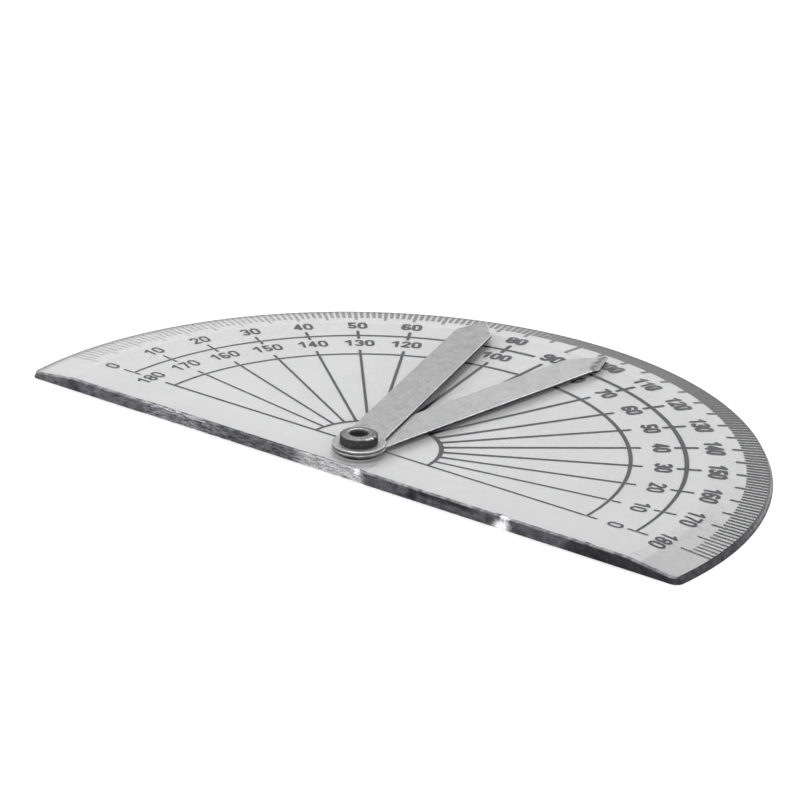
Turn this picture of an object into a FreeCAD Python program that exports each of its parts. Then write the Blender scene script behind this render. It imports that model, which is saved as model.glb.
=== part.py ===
"""A clear half-round protractor with two riveted pointer arms.

Millimetres, +Z up. The origin is on the pivot's axis at the plate's underside. +X runs along the
straight front edge and +Y runs from it towards the rim. Angles are measured from +X about +Z.
"""

import FreeCAD, Part
import math
import os
from FreeCAD import Vector

# Plate: a flat half disc with a bevelled rim, whose wall spreads out a little towards the underside.
RIM_RADIUS = 50.3
RIM_FOOT_RADIUS = 50.75
RIM_CENTRE = Vector(0, 1.2, 0)
FRONT_EDGE_Y = -5.5
PLATE_THICKNESS = 1.68
BEVEL_WIDTH = 6.8
BEVEL_DROP = 0.82
CORNER_RADIUS = 1.1
FRONT_CHAMFER = 0.25

# Printed scale: pressed into the plate's underside and read through the plate. Its centre lies
# behind the pivot.
SCALE_CENTRE = Vector(0.21, 2.28, 0)
PRINT_LIMIT_RADIUS = 50.55
INK_THICKNESS = 0.03
ARC_WIDTH = 0.46
LINE_WIDTH = 0.42
BASE_LINE_WIDTH = 0.36
TICK_WIDTH = 0.38
HUB_ARC_RADIUS = 8.78
INNER_ARC_RADIUS = 32.36
OUTER_ARC_RADIUS = 39.32
LABEL_GAP_ANGLE = 3.4
RADIAL_END = 33.9
NINETY_RADIAL_END = 37.6
CROSS_TICK_SPAN = (38.1, 41.15)
DEGREE_TICK_SPAN = (46.65, 50.2)
FIVE_DEGREE_TICK_SPAN = (45.4, 50.2)
NINETY_TICK_SPAN = (43.2, 50.2)

# Numerals: rounded strokes of one width.
DIGIT_HEIGHT = 2.27
STROKE_WIDTH = 0.45
DIGIT_GAP = 0.07
NINETY_ENLARGEMENT = 1.12
OUTER_LABEL_RADIUS = 43.12
INNER_LABEL_RADIUS = 36.46
NINETY_LABEL_RADIUS = 40.12

# Arms: two alike, stacked on the plate.
ARM_THICKNESS = 0.38
ARM_HALF_WIDTH = 2.58
ARM_EYE_RADIUS = 3.4
ARM_SHOULDER = 42.3
ARM_LENGTH = 47.3
ARM_TIP_RADIUS = 0.35
ARM_SHOULDER_RADIUS = 1.5
ARM_CLEARANCE = 0.05
UPPER_ARM_ANGLE = 106.0
LOWER_ARM_ANGLE = 82.2

# Eyelet: a hollow rivet, flanged below and rolled over above.
EYELET_BORE_RADIUS = 1.2
EYELET_WALL = 0.3
EYELET_FLANGE_RADIUS = 2.6
EYELET_HEAD_RADIUS = 2.4
EYELET_HEAD_HEIGHT = 1.28
EYELET_HEAD_CLEARANCE = 0.04
RUNNING_CLEARANCE = 0.05
COUNTERBORE_CLEARANCE = 0.1

# How far cutting tools reach past what they cut.
MARGIN = 1.0

# Heights of the stack, from the plate up.
LOWER_ARM_BOTTOM = PLATE_THICKNESS + ARM_CLEARANCE
UPPER_ARM_BOTTOM = LOWER_ARM_BOTTOM + ARM_THICKNESS + ARM_CLEARANCE
UPPER_ARM_TOP = UPPER_ARM_BOTTOM + ARM_THICKNESS
HEAD_TOP = UPPER_ARM_TOP + EYELET_HEAD_HEIGHT
SHANK_RADIUS = EYELET_BORE_RADIUS + EYELET_WALL
ARM_HOLE_RADIUS = SHANK_RADIUS + RUNNING_CLEARANCE

UP = Vector(0, 0, 1)
ORIGIN = Vector(0, 0, 0)


def polar(radius, angle, z=0.0):
    """The point at a radius and an angle in degrees."""
    turn = math.radians(angle)
    return Vector(radius * math.cos(turn), radius * math.sin(turn), z)


def arc(centre, radius, start, end):
    """An arc edge in the XY plane, from start to end in degrees."""
    middle = centre + polar(radius, (start + end) / 2)
    return Part.Arc(centre + polar(radius, start), middle, centre + polar(radius, end)).toShape()


def line(start, end):
    return Part.LineSegment(start, end).toShape()


def polygon(points):
    """The sides of a closed shape through the points."""
    return [line(points[i], points[(i + 1) % len(points)]) for i in range(len(points))]


def prism(edges, bottom, height):
    """A solid of that height on a closed flat outline."""
    outline = Part.Wire(Part.__sortEdges__(edges))
    outline.translate(UP * bottom)
    return Part.Face(outline).extrude(UP * height)


def revolved(edges, centre):
    """A full turn of a closed outline in the XZ plane about the vertical through centre."""
    section = Part.Face(Part.Wire(Part.__sortEdges__(edges)))
    solid = section.revolve(ORIGIN, UP, 360)
    solid.translate(centre)
    return solid


def turned(shape, angle, centre=ORIGIN):
    """A copy of shape turned about the vertical through the origin, then moved to centre."""
    copy = shape.copy()
    copy.rotate(ORIGIN, UP, angle)
    copy.translate(centre)
    return copy


# ---------------------------------------------------------------- plate


def bevelled_disc(radius):
    """A disc, flat on top, that slopes down over the bevel as far as that radius."""
    crease = RIM_RADIUS - BEVEL_WIDTH
    section = [
        Vector(0, 0, 0),
        Vector(radius, 0, 0),
        Vector(radius, 0, PLATE_THICKNESS - BEVEL_DROP * (radius - crease) / BEVEL_WIDTH),
        Vector(crease, 0, PLATE_THICKNESS),
        Vector(0, 0, PLATE_THICKNESS),
    ]
    return revolved(polygon(section), RIM_CENTRE)


def unbevelled_half():
    """The plate before its bevel: a spreading wall, a straight front and two rounded corners."""
    spread = (RIM_FOOT_RADIUS - RIM_RADIUS) / (PLATE_THICKNESS - BEVEL_DROP)
    top_radius = RIM_FOOT_RADIUS - spread * PLATE_THICKNESS
    disc = Part.makeCone(RIM_FOOT_RADIUS, top_radius, PLATE_THICKNESS, RIM_CENTRE)
    behind_front = Part.makeBox(
        2 * RIM_FOOT_RADIUS,
        2 * RIM_FOOT_RADIUS,
        PLATE_THICKNESS,
        Vector(-RIM_FOOT_RADIUS, FRONT_EDGE_Y, 0),
    )
    half = disc.common(behind_front)
    corners = [
        e
        for e in half.Edges
        if abs(e.CenterOfMass.y - FRONT_EDGE_Y) < 0.01
        and abs(e.BoundBox.ZLength - PLATE_THICKNESS) < 0.01
    ]
    return half.makeFillet(CORNER_RADIUS, corners)


def chamfer_tool():
    """A long bar that takes the front edge's top corner off at 45 degrees."""
    section = [
        Vector(0, FRONT_EDGE_Y - MARGIN, PLATE_THICKNESS - FRONT_CHAMFER - MARGIN),
        Vector(0, FRONT_EDGE_Y + FRONT_CHAMFER + MARGIN, PLATE_THICKNESS + MARGIN),
        Vector(0, FRONT_EDGE_Y - MARGIN, PLATE_THICKNESS + MARGIN),
    ]
    face = Part.Face(Part.makePolygon(section + section[:1]))
    bar = face.extrude(Vector(2 * RIM_FOOT_RADIUS, 0, 0))
    bar.translate(Vector(-RIM_FOOT_RADIUS, 0, 0))
    return bar


def plate():
    """The clear plate, with the rivet's hole and a counterbore that sinks its flange."""
    half = unbevelled_half().common(bevelled_disc(RIM_FOOT_RADIUS + MARGIN))
    half = half.cut(chamfer_tool())
    hole = Part.makeCylinder(ARM_HOLE_RADIUS, PLATE_THICKNESS)
    counterbore = Part.makeCylinder(EYELET_FLANGE_RADIUS + COUNTERBORE_CLEARANCE, EYELET_WALL)
    return half.cut(hole.fuse(counterbore))


# ---------------------------------------------------------------- arms and eyelet


def mirrored(point):
    return Vector(point.x, -point.y, point.z)


def arm_outline():
    """The arm in plan along +X: a round eye, parallel sides and a spear point."""
    eye_angle = math.degrees(math.asin(ARM_HALF_WIDTH / ARM_EYE_RADIUS))
    eye_end = polar(ARM_EYE_RADIUS, eye_angle)
    shoulder = Vector(ARM_SHOULDER, ARM_HALF_WIDTH, 0)
    tip = Vector(ARM_LENGTH, 0, 0)
    return [
        arc(ORIGIN, ARM_EYE_RADIUS, eye_angle, 360 - eye_angle),
        line(eye_end, shoulder),
        line(shoulder, tip),
        line(tip, mirrored(shoulder)),
        line(mirrored(shoulder), mirrored(eye_end)),
    ]


def upright_edges_beyond(solid, start, end):
    """The vertical edges whose distance along +X is between start and end."""
    return [
        e
        for e in solid.Edges
        if abs(e.tangentAt(e.FirstParameter).z) > 0.99
        and start < e.CenterOfMass.x < end
        and e.BoundBox.ZLength > ARM_THICKNESS / 2
    ]


def arm(bottom, angle):
    """One pointer arm, lying flat and turned to its angle about the pivot."""
    blank = prism(arm_outline(), bottom, ARM_THICKNESS)
    shoulders = upright_edges_beyond(blank, ARM_SHOULDER - MARGIN, ARM_SHOULDER + MARGIN)
    blank = blank.makeFillet(ARM_SHOULDER_RADIUS, shoulders)
    tip = upright_edges_beyond(blank, ARM_LENGTH - MARGIN, ARM_LENGTH + MARGIN)
    blank = blank.makeFillet(ARM_TIP_RADIUS, tip)
    hole = Part.makeCylinder(ARM_HOLE_RADIUS, ARM_THICKNESS, Vector(0, 0, bottom))
    return turned(blank.cut(hole), angle)


def eyelet_outline():
    """The rivet's wall in section: flange, straight shank, then a curl that ends above the arm."""
    roll_centre = (EYELET_BORE_RADIUS + EYELET_HEAD_RADIUS) / 2
    roll_outer = (EYELET_HEAD_RADIUS - EYELET_BORE_RADIUS) / 2
    roll_inner = roll_outer - EYELET_WALL
    roll_height = HEAD_TOP - roll_outer
    foot = UPPER_ARM_TOP + EYELET_HEAD_CLEARANCE

    def at(radius, height):
        return Vector(radius, 0, height)

    def over(radius):
        start = at(roll_centre - radius, roll_height)
        crest = at(roll_centre, roll_height + radius)
        end = at(roll_centre + radius, roll_height)
        return Part.Arc(start, crest, end).toShape()

    curl_inside = EYELET_HEAD_RADIUS - EYELET_WALL
    return [
        line(at(EYELET_BORE_RADIUS, 0), at(EYELET_BORE_RADIUS, roll_height)),
        over(roll_outer),
        line(at(EYELET_HEAD_RADIUS, roll_height), at(EYELET_HEAD_RADIUS, foot)),
        line(at(EYELET_HEAD_RADIUS, foot), at(curl_inside, foot)),
        line(at(curl_inside, foot), at(curl_inside, roll_height)),
        over(roll_inner),
        line(at(SHANK_RADIUS, roll_height), at(SHANK_RADIUS, EYELET_WALL)),
        line(at(SHANK_RADIUS, EYELET_WALL), at(EYELET_FLANGE_RADIUS, EYELET_WALL)),
        line(at(EYELET_FLANGE_RADIUS, EYELET_WALL), at(EYELET_FLANGE_RADIUS, 0)),
        line(at(EYELET_FLANGE_RADIUS, 0), at(EYELET_BORE_RADIUS, 0)),
    ]


def eyelet():
    return revolved(eyelet_outline(), ORIGIN)


# ---------------------------------------------------------------- printed scale


def ring_band(radius, width, start, end):
    """Ink along an arc of the scale."""
    outer = radius + width / 2
    inner = radius - width / 2
    edges = [
        arc(SCALE_CENTRE, outer, start, end),
        arc(SCALE_CENTRE, inner, start, end),
        line(SCALE_CENTRE + polar(inner, start), SCALE_CENTRE + polar(outer, start)),
        line(SCALE_CENTRE + polar(inner, end), SCALE_CENTRE + polar(outer, end)),
    ]
    return prism(edges, 0, INK_THICKNESS)


def radial_bar(span, width, angle):
    """A bar of ink along a radius of the scale, between the two radii of span."""
    start, end = span
    bar = Part.makeBox(end - start, width, INK_THICKNESS, Vector(start, -width / 2, 0))
    return turned(bar, angle, SCALE_CENTRE)


def clear_of(shapes, *tools):
    """Each shape with the tools' volume taken off, as one flat list of solids."""
    kept = []
    for shape in shapes:
        for tool in tools:
            shape = shape.cut(tool)
        kept += shape.Solids
    return kept


def printed(shapes):
    """Each shape cut down to the ink's thickness, and short of the rim, as one flat list of solids."""
    film = Part.makeCylinder(PRINT_LIMIT_RADIUS, INK_THICKNESS, RIM_CENTRE)
    kept = []
    for shape in shapes:
        kept += shape.common(film).Solids
    return kept


def scale_arcs():
    """The three concentric arcs. The outer one is broken round the 90 label."""
    return {
        "hub_arc": [ring_band(HUB_ARC_RADIUS, ARC_WIDTH, 0, 180)],
        "inner_scale_arc": [ring_band(INNER_ARC_RADIUS, ARC_WIDTH, 0, 180)],
        "outer_scale_arc": [
            ring_band(OUTER_ARC_RADIUS, ARC_WIDTH, 0, 90 - LABEL_GAP_ANGLE),
            ring_band(OUTER_ARC_RADIUS, ARC_WIDTH, 90 + LABEL_GAP_ANGLE, 180),
        ],
    }


def straight_marks(arcs):
    """Lines and cross ticks, cut back where an arc already holds the ink."""
    crossed = arcs["hub_arc"] + arcs["inner_scale_arc"]
    counterbore = Part.makeCylinder(EYELET_FLANGE_RADIUS + COUNTERBORE_CLEARANCE, EYELET_WALL)
    radials = [
        radial_bar((HUB_ARC_RADIUS, NINETY_RADIAL_END if a == 90 else RADIAL_END), LINE_WIDTH, a)
        for a in range(10, 180, 10)
    ]
    base = radial_bar((-RADIAL_END, RADIAL_END), BASE_LINE_WIDTH, 0)
    cross_ticks = [
        radial_bar(CROSS_TICK_SPAN, LINE_WIDTH, a) for a in range(0, 181, 10) if a != 90
    ]
    return {
        "radial_lines": clear_of(radials, *crossed),
        "base_line": clear_of([base], counterbore, *crossed),
        "cross_ticks": clear_of(cross_ticks, *arcs["outer_scale_arc"]),
    }


def rim_ticks():
    """The degree ticks round the rim, under the bevel."""

    def ticks(span, angles):
        return printed([radial_bar(span, TICK_WIDTH, a) for a in angles])

    return {
        "degree_ticks": ticks(DEGREE_TICK_SPAN, [a for a in range(181) if a % 5]),
        "five_degree_ticks": ticks(
            FIVE_DEGREE_TICK_SPAN, [a for a in range(0, 181, 5) if a != 90]
        ),
        "ninety_degree_tick": ticks(NINETY_TICK_SPAN, [90]),
    }


# ---------------------------------------------------------------- numerals

# A digit's strokes run down the middle of its ink. The bowls' radius is a quarter of that height.
STROKE_RISE = DIGIT_HEIGHT - STROKE_WIDTH
BOWL = STROKE_RISE / 4


def stroke_line(x0, y0, x1, y1):
    """A straight stroke with round ends."""
    start = Vector(x0, y0, 0)
    run = Vector(x1, y1, 0) - start
    half = STROKE_WIDTH / 2
    bar = Part.makeBox(run.Length, STROKE_WIDTH, INK_THICKNESS, Vector(0, -half, 0))
    bar.rotate(ORIGIN, UP, math.degrees(math.atan2(run.y, run.x)))
    bar.translate(start)
    ends = [Part.makeCylinder(half, INK_THICKNESS, p) for p in (start, start + run)]
    return [bar] + ends


def stroke_arc(x, y, start, end):
    """A bowl's stroke, from start to end in degrees, with round ends."""
    centre = Vector(x, y, 0)
    half = STROKE_WIDTH / 2
    if end - start >= 360:
        outer = Part.makeCylinder(BOWL + half, INK_THICKNESS, centre)
        return [outer.cut(Part.makeCylinder(BOWL - half, INK_THICKNESS, centre))]
    edges = [arc(centre, BOWL + half, start, end), arc(centre, BOWL - half, start, end)]
    for angle in (start, end):
        inner = centre + polar(BOWL - half, angle)
        edges.append(line(inner, centre + polar(BOWL + half, angle)))
    ends = [Part.makeCylinder(half, INK_THICKNESS, centre + polar(BOWL, a)) for a in (start, end)]
    return [prism(edges, 0, INK_THICKNESS)] + ends


def digit_strokes():
    """The strokes of each digit, in a frame with its lower left corner at the origin."""
    wide = 2 * BOWL
    tall = STROKE_RISE
    upper = tall - BOWL
    bar_height = 0.27 * tall
    stem = 0.72 * wide
    neck = polar(BOWL, -35)
    five_start = polar(BOWL, 125)
    return {
        "0": stroke_line(0, BOWL, 0, upper)
        + stroke_line(wide, BOWL, wide, upper)
        + stroke_arc(BOWL, upper, 0, 180)
        + stroke_arc(BOWL, BOWL, 180, 360),
        "1": stroke_line(stem, 0, stem, tall) + stroke_line(stem, tall, 0.1 * wide, 0.72 * tall),
        "2": stroke_arc(BOWL, upper, -35, 165)
        + stroke_line(BOWL + neck.x, upper + neck.y, 0, 0)
        + stroke_line(0, 0, wide, 0),
        "3": stroke_arc(BOWL, upper, -90, 150) + stroke_arc(BOWL, BOWL, -150, 90),
        "4": stroke_line(stem, 0, stem, tall)
        + stroke_line(stem, tall, 0, bar_height)
        + stroke_line(0, bar_height, wide, bar_height),
        "5": stroke_line(0.1 * wide, tall, 0.95 * wide, tall)
        + stroke_line(0.1 * wide, tall, BOWL + five_start.x, 1.15 * BOWL + five_start.y)
        + stroke_arc(BOWL, 1.15 * BOWL, -145, 125),
        "6": stroke_arc(BOWL, BOWL, 0, 360)
        + stroke_line(0, BOWL, 0, upper)
        + stroke_arc(BOWL, upper, 35, 180),
        "7": stroke_line(0, tall, wide, tall) + stroke_line(wide, tall, 0.35 * wide, 0),
        "8": stroke_arc(BOWL, BOWL, 0, 360) + stroke_arc(BOWL, upper, 0, 360),
        "9": stroke_arc(BOWL, upper, 0, 360)
        + stroke_line(wide, BOWL, wide, upper)
        + stroke_arc(BOWL, BOWL, 215, 360),
    }


def digit_solids():
    """Each digit as one solid, centred on its own middle."""
    solids = {}
    for digit, strokes in digit_strokes().items():
        whole = strokes[0].multiFuse(strokes[1:]).removeSplitter()
        whole.translate(Vector(-BOWL, -STROKE_RISE / 2, 0))
        solids[digit] = whole
    return solids


def label(digits, value, radius, angle, enlargement=1.0):
    """A number whose top points outwards, centred on a radius of the scale."""
    pitch = 2 * BOWL + STROKE_WIDTH + DIGIT_GAP
    first = -pitch * (len(value) - 1) / 2
    placed = []
    for place, digit in enumerate(value):
        copy = digits[digit].copy()
        copy.translate(Vector(first + place * pitch, 0, 0))
        copy.scale(enlargement)
        copy.translate(Vector(0, radius, 0))
        placed.append(turned(copy, angle - 90, SCALE_CENTRE))
    return placed


def numerals():
    """Both rows of numbers. The outer row runs clockwise and the inner row the other way."""
    digits = digit_solids()
    outer = []
    inner = []
    for angle in range(0, 181, 10):
        if angle != 90:
            outer += label(digits, str(180 - angle), OUTER_LABEL_RADIUS, angle)
            inner += label(digits, str(angle), INNER_LABEL_RADIUS, angle)
    middle = label(digits, "90", NINETY_LABEL_RADIUS, 90, NINETY_ENLARGEMENT)
    return {
        "outer_numerals": printed(outer),
        "inner_numerals": printed(inner),
        "ninety_numeral": printed(middle),
    }


def main():
    os.makedirs("parts", exist_ok=True)
    arcs = scale_arcs()
    nodes = {
        "plate": [plate()],
        "eyelet": [eyelet()],
        "lower_arm": [arm(LOWER_ARM_BOTTOM, LOWER_ARM_ANGLE)],
        "upper_arm": [arm(UPPER_ARM_BOTTOM, UPPER_ARM_ANGLE)],
        **arcs,
        **straight_marks(arcs),
        **rim_ticks(),
        **numerals(),
    }
    for name, solids in nodes.items():
        shape = solids[0] if len(solids) == 1 else Part.makeCompound(solids)
        box = shape.BoundBox
        print(
            f"{name}: {len(shape.Solids)} solids, {len(shape.Faces)} faces, "
            f"{shape.Volume:.3f} mm3, valid {shape.isValid()}, z {box.ZMin:.3f} to {box.ZMax:.3f}"
        )
        shape.exportStep(f"parts/{name}.step")


main()
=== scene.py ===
"""Looks of a clear half-round protractor with two riveted metal arms.

Shapes are worked out in millimetres in the row frame and written to meshes in metres.
"""

import math

import bmesh
import bpy
import numpy as np
from mathutils import Matrix, Vector, geometry, noise


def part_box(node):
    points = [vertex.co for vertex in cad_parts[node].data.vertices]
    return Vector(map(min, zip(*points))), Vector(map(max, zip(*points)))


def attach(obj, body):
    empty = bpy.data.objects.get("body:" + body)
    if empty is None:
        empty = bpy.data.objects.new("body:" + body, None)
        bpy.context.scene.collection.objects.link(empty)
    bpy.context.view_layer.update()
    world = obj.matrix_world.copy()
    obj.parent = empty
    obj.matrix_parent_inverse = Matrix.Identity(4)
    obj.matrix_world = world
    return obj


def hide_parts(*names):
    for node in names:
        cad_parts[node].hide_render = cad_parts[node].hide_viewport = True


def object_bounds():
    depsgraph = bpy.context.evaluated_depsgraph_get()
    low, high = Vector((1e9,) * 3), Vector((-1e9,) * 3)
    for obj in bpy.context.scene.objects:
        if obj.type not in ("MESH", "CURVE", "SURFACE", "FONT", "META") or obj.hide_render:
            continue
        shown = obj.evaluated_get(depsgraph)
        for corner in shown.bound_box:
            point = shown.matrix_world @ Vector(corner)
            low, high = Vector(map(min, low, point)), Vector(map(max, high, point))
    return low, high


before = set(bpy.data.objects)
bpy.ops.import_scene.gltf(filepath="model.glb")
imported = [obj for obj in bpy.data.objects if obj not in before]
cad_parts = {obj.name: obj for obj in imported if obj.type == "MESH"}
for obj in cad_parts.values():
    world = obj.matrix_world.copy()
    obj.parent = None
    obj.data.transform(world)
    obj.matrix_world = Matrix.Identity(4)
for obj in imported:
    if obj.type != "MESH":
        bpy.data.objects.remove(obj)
CAD_LOW, CAD_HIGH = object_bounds()
MM = 0.001

# ---------------------------------------------------------------- sizes read from the frame


def box_mm(node):
    """A node's lowest and highest corners in millimetres, as arrays."""
    low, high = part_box(node)
    return np.array(low) / MM, np.array(high) / MM


PLATE_LOW, PLATE_HIGH = box_mm("plate")
THICKNESS = float(PLATE_HIGH[2])
RIM_FOOT_RADIUS = float(PLATE_HIGH[0])
WALL_SPREAD = 0.45
RIM_RADIUS = RIM_FOOT_RADIUS - WALL_SPREAD
RIM_CENTRE = np.array([0.0, float(PLATE_HIGH[1]) - RIM_FOOT_RADIUS])
FRONT_Y = float(PLATE_LOW[1])
BEVEL_WIDTH = 6.8
BEVEL_DROP = 0.82
CREASE_RADIUS = RIM_RADIUS - BEVEL_WIDTH
CORNER_RADIUS = 1.15
FRONT_CHAMFER = 0.25
RIM_CHAMFER = 0.06
HOLE_RADIUS = 1.55
COUNTERBORE_RADIUS = 2.7
COUNTERBORE_DEPTH = 0.3


# ---------------------------------------------------------------- mesh building


class Shell:
    """Collects the rings and faces of one closed mesh, in millimetres."""

    def __init__(self):
        self.points = []
        self.faces = []
        self.kinds = []
        self.sharp = set()

    def ring(self, points, sharp=False):
        """Adds a closed loop of points and gives their numbers back."""
        first = len(self.points)
        self.points += [tuple(float(c) for c in p) for p in points]
        ids = list(range(first, len(self.points)))
        if sharp:
            self.sharp |= {frozenset(pair) for pair in zip(ids, ids[1:] + ids[:1])}
        return ids

    def bridge(self, a, b, kind=0):
        """Quads between two loops with the same number of points."""
        n = len(a)
        for i in range(n):
            j = (i + 1) % n
            self.faces.append((a[i], a[j], b[j], b[i]))
            self.kinds.append(kind)

    def fill(self, outer, holes=(), lines=(), loose=(), kind=0):
        """Triangles between an outer loop, holes and any lines or loose points inside it.

        Gives False and adds nothing where the loops cross each other.
        """
        ids = list(outer)
        for loop in holes:
            ids += loop
        for chain in lines:
            ids += chain
        ids += list(loose)
        place = {v: k for k, v in enumerate(ids)}
        flat = [Vector(self.points[v][:2]) for v in ids]
        edges = []
        for loop in [outer, *holes]:
            edges += [(place[v], place[w]) for v, w in zip(loop, loop[1:] + loop[:1])]
        for chain in lines:
            edges += [(place[v], place[w]) for v, w in zip(chain, chain[1:])]
        made, _, triangles, came_from, _, _ = geometry.delaunay_2d_cdt(flat, edges, [], 0, 1e-7)
        if len(made) != len(flat) or not triangles:
            return False
        middles = np.array([[sum(made[v][k] for v in t) / 3 for k in (0, 1)] for t in triangles])
        kept = inside(middles, np.array([self.points[v][:2] for v in outer]))
        for loop in holes:
            kept &= ~inside(middles, np.array([self.points[v][:2] for v in loop]))
        for triangle, good in zip(triangles, kept):
            if good:
                self.faces.append(tuple(ids[came_from[v][0]] for v in triangle))
                self.kinds.append(kind)
        return True

    def build(self, name, materials, smooth_angle=30.0):
        """The mesh object in metres, with its normals outwards."""
        mesh = bpy.data.meshes.new(name)
        mesh.from_pydata([[c * MM for c in p] for p in self.points], [], self.faces)
        mesh.polygons.foreach_set("material_index", self.kinds)
        work = bmesh.new()
        work.from_mesh(mesh)
        bmesh.ops.recalc_face_normals(work, faces=work.faces)
        work.to_mesh(mesh)
        work.free()
        for material in materials:
            mesh.materials.append(material)
        mesh.shade_smooth()
        mesh.set_sharp_from_angle(angle=math.radians(smooth_angle))
        sharp = mesh.attributes.get("sharp_edge") or mesh.attributes.new("sharp_edge", "BOOLEAN", "EDGE")
        for edge in mesh.edges:
            if frozenset(edge.vertices) in self.sharp:
                sharp.data[edge.index].value = True
        piece = bpy.data.objects.new(name, mesh)
        bpy.context.scene.collection.objects.link(piece)
        return piece


def inside(points, loop):
    """For each point, whether it lies inside a closed loop."""
    x, y = points[:, 0:1], points[:, 1:2]
    a, b = loop, np.roll(loop, -1, axis=0)
    crosses = (a[:, 1] > y) != (b[:, 1] > y)
    rise = np.where(b[:, 1] == a[:, 1], 1.0, b[:, 1] - a[:, 1])
    at = a[:, 0] + (y - a[:, 1]) * (b[:, 0] - a[:, 0]) / rise
    return (np.sum(crosses & (x < at), axis=1) % 2).astype(bool)


def store(piece, name, values):
    """Keeps one number for each of a piece's vertices, for its material."""
    attribute = piece.data.attributes.new(name, "FLOAT", "POINT")
    attribute.data.foreach_set("value", np.asarray(values, dtype=np.float32))


def grain(x, y, z, size):
    """Smooth noise from -1 to 1 whose lumps are about size across."""
    return noise.noise(Vector((x, y, z)) / size)


def step(low, high, value):
    """0 below low, 1 above high and smooth between them."""
    t = min(1.0, max(0.0, (value - low) / (high - low)))
    return t * t * (3 - 2 * t)


def bump(centre, half, value):
    """1 at the centre, falling smoothly to 0 at a distance of half from it."""
    return 1 - step(0.0, half, abs(value - centre))


def circle(radius, count, z, centre=(0.0, 0.0)):
    turns = np.arange(count) * 2 * math.pi / count
    return [(centre[0] + radius * math.cos(t), centre[1] + radius * math.sin(t), z) for t in turns]


# ---------------------------------------------------------------- node helpers


class Nodes:
    """A new material and short ways to add nodes to it."""

    def __init__(self, name):
        self.material = bpy.data.materials.new(name)
        self.material.use_nodes = True
        self.tree = self.material.node_tree
        self.tree.nodes.clear()

    def add(self, kind, inputs=None, **settings):
        """Adds a node, sets its properties and fills its inputs with values or sockets."""
        node = self.tree.nodes.new(kind)
        for key, value in settings.items():
            setattr(node, key, value)
        for key, value in (inputs or {}).items():
            if isinstance(value, bpy.types.NodeSocket):
                self.tree.links.new(value, node.inputs[key])
            else:
                node.inputs[key].default_value = value
        return node

    def place(self):
        """The surface's place in the object's own frame, in metres."""
        return self.add("ShaderNodeTexCoord").outputs["Object"]

    def value(self, name):
        """A number stored on the mesh."""
        return self.add("ShaderNodeAttribute", attribute_name=name).outputs["Fac"]

    def noise(self, size, stretch=(1, 1, 1), turn=0.0, detail=2.0, roughness=0.5, distortion=0.0):
        """Noise with lumps of a size in millimetres, longer where stretch is above 1."""
        mapping = self.add(
            "ShaderNodeMapping",
            {
                "Vector": self.place(),
                "Rotation": (0, 0, -math.radians(turn)),
                "Scale": [1 / s for s in stretch],
            },
        )
        node = self.add(
            "ShaderNodeTexNoise",
            {
                "Vector": mapping.outputs["Vector"],
                "Scale": 1 / (size * MM),
                "Detail": detail,
                "Roughness": roughness,
                "Distortion": distortion,
            },
        )
        return node.outputs["Fac"]

    def ranged(self, source, low, high, to_low=0.0, to_high=1.0):
        node = self.add(
            "ShaderNodeMapRange",
            {"Value": source, "From Min": low, "From Max": high, "To Min": to_low, "To Max": to_high},
        )
        return node.outputs["Result"]

    def maths(self, operation, a, b=0.0):
        return self.add("ShaderNodeMath", {0: a, 1: b}, operation=operation).outputs[0]

    def mixed(self, share, a, b):
        """Colours a and b mixed by share."""
        node = self.add("ShaderNodeMix", data_type="RGBA")
        for socket, value in ((node.inputs[0], share), (node.inputs[6], a), (node.inputs[7], b)):
            if isinstance(value, bpy.types.NodeSocket):
                self.tree.links.new(value, socket)
            else:
                socket.default_value = value
        return node.outputs[2]

    def grey(self, value, tint=(1.0, 1.0, 1.0)):
        """A grey, slightly tinted colour from a number."""
        parts = [self.maths("MULTIPLY", value, t) for t in tint]
        return self.add("ShaderNodeCombineColor", {0: parts[0], 1: parts[1], 2: parts[2]}).outputs[0]

    def bumped(self, height, distance, strength=1.0):
        """A normal from a height of 0 to 1 that stands for distance in millimetres."""
        node = self.add(
            "ShaderNodeBump", {"Height": height, "Distance": distance * MM, "Strength": strength}
        )
        return node.outputs["Normal"]

    def finish(self, shader):
        self.add("ShaderNodeOutputMaterial", {"Surface": shader})
        return self.material


# ---------------------------------------------------------------- materials


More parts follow.
